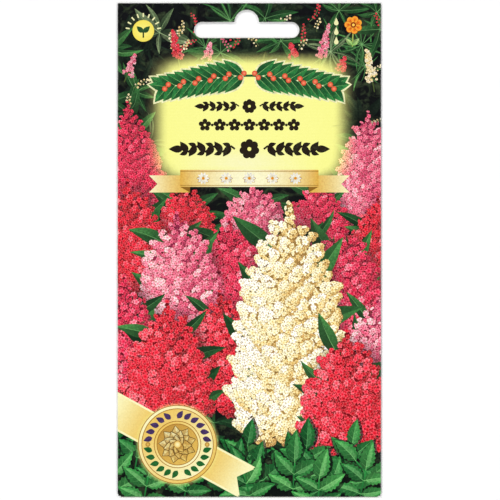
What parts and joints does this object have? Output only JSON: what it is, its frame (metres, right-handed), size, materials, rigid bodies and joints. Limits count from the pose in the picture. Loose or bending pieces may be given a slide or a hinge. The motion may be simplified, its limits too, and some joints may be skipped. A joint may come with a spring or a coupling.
{
  "type": "seed packet",
  "caption": "Flat printed paper packet, folded from one blank and glued, with a hang slot through its header and a sachet of fine seed sealed inside.",
  "frame": {"origin": "middle of the back panel's outer face, on the surface that the packet lies on", "axes": "+X across the packet to the reader's right, +Y up the packet to its header and hang slot, +Z out of the printed front"},
  "size_m": [0.08, 0.15, 0.0019],
  "materials": {
    "printed_paper": "satin",
    "glue": "satin",
    "sachet_film": "satin",
    "seed": "matte"
  },
  "bodies": {
    "root": {"envelope": "printed_paper", "side_glue_left": "glue", "side_glue_right": "glue", "header_glue": "glue", "inner_sachet": "sachet_film", "seeds": "seed"}
  },
  "joints": []
}
